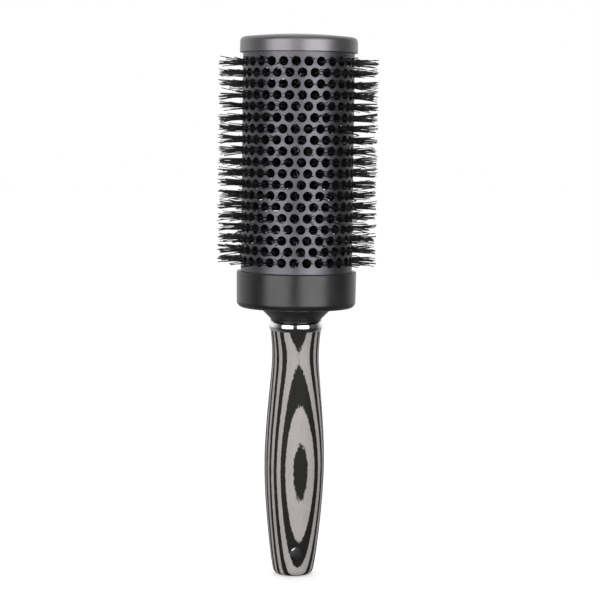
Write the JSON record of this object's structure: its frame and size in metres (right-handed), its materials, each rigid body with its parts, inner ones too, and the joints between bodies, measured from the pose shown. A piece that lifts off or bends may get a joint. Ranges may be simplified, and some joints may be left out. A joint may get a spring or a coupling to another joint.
{
  "type": "round barrel brush",
  "caption": "Round hair brush with a perforated metal barrel, nylon bristles through its holes, a twisted wire core and a turned handle of laminated veneers with a hanging hole.",
  "frame": {"origin": "centre of the handle's flat butt, at the bottom of the brush", "axes": "+Z from the butt to the end cap along the brush's axis; the hanging hole runs along Y to within 3 degrees, and the veneers lie parallel to the XZ plane but for a slight bow and twist"},
  "size_m": [0.0772, 0.0772, 0.259],
  "materials": {
    "cap_plastic": "satin",
    "collar_plastic": "satin",
    "barrel_metal": "satin anodised",
    "ring_plating": "polished",
    "core_wire": "bright drawn",
    "bristle_nylon": "slight sheen",
    "veneer_dark": "dyed, oiled",
    "veneer_light": "dyed, oiled"
  },
  "bodies": {
    "root": {"end_cap": "cap_plastic", "barrel": "barrel_metal", "base_collar": "collar_plastic", "ferrule_ring": "ring_plating", "stem_wire_a": "core_wire", "stem_wire_b": "core_wire", "veneer_01_dark": "veneer_dark", "veneer_02_light": "veneer_light", "veneer_03_dark": "veneer_dark", "veneer_04_light": "veneer_light", "veneer_05_dark": "veneer_dark", "veneer_06_light": "veneer_light", "veneer_07_dark": "veneer_dark", "veneer_08_light": "veneer_light", "veneer_09_dark": "veneer_dark", "veneer_10_light": "veneer_light", "veneer_11_dark": "veneer_dark", "veneer_12_light": "veneer_light", "veneer_13_dark": "veneer_dark", "veneer_14_light": "veneer_light", "veneer_15_dark": "veneer_dark", "veneer_16_light": "veneer_light", "veneer_17_dark": "veneer_dark", "veneer_18_light": "veneer_light", "veneer_19_dark": "veneer_dark", "veneer_20_light": "veneer_light", "veneer_21_dark": "veneer_dark", "bristle_ring_01": "bristle_nylon", "bristle_ring_02": "bristle_nylon", "bristle_ring_03": "bristle_nylon", "bristle_ring_04": "bristle_nylon", "bristle_ring_05": "bristle_nylon", "bristle_ring_06": "bristle_nylon", "bristle_ring_07": "bristle_nylon", "bristle_ring_08": "bristle_nylon", "bristle_ring_09": "bristle_nylon", "bristle_ring_10": "bristle_nylon", "bristle_ring_11": "bristle_nylon", "bristle_ring_12": "bristle_nylon", "bristle_ring_13": "bristle_nylon", "bristle_ring_14": "bristle_nylon", "bristle_ring_15": "bristle_nylon", "bristle_ring_16": "bristle_nylon", "bristle_ring_17": "bristle_nylon", "bristle_ring_18": "bristle_nylon", "bristle_ring_19": "bristle_nylon"}
  },
  "joints": []
}
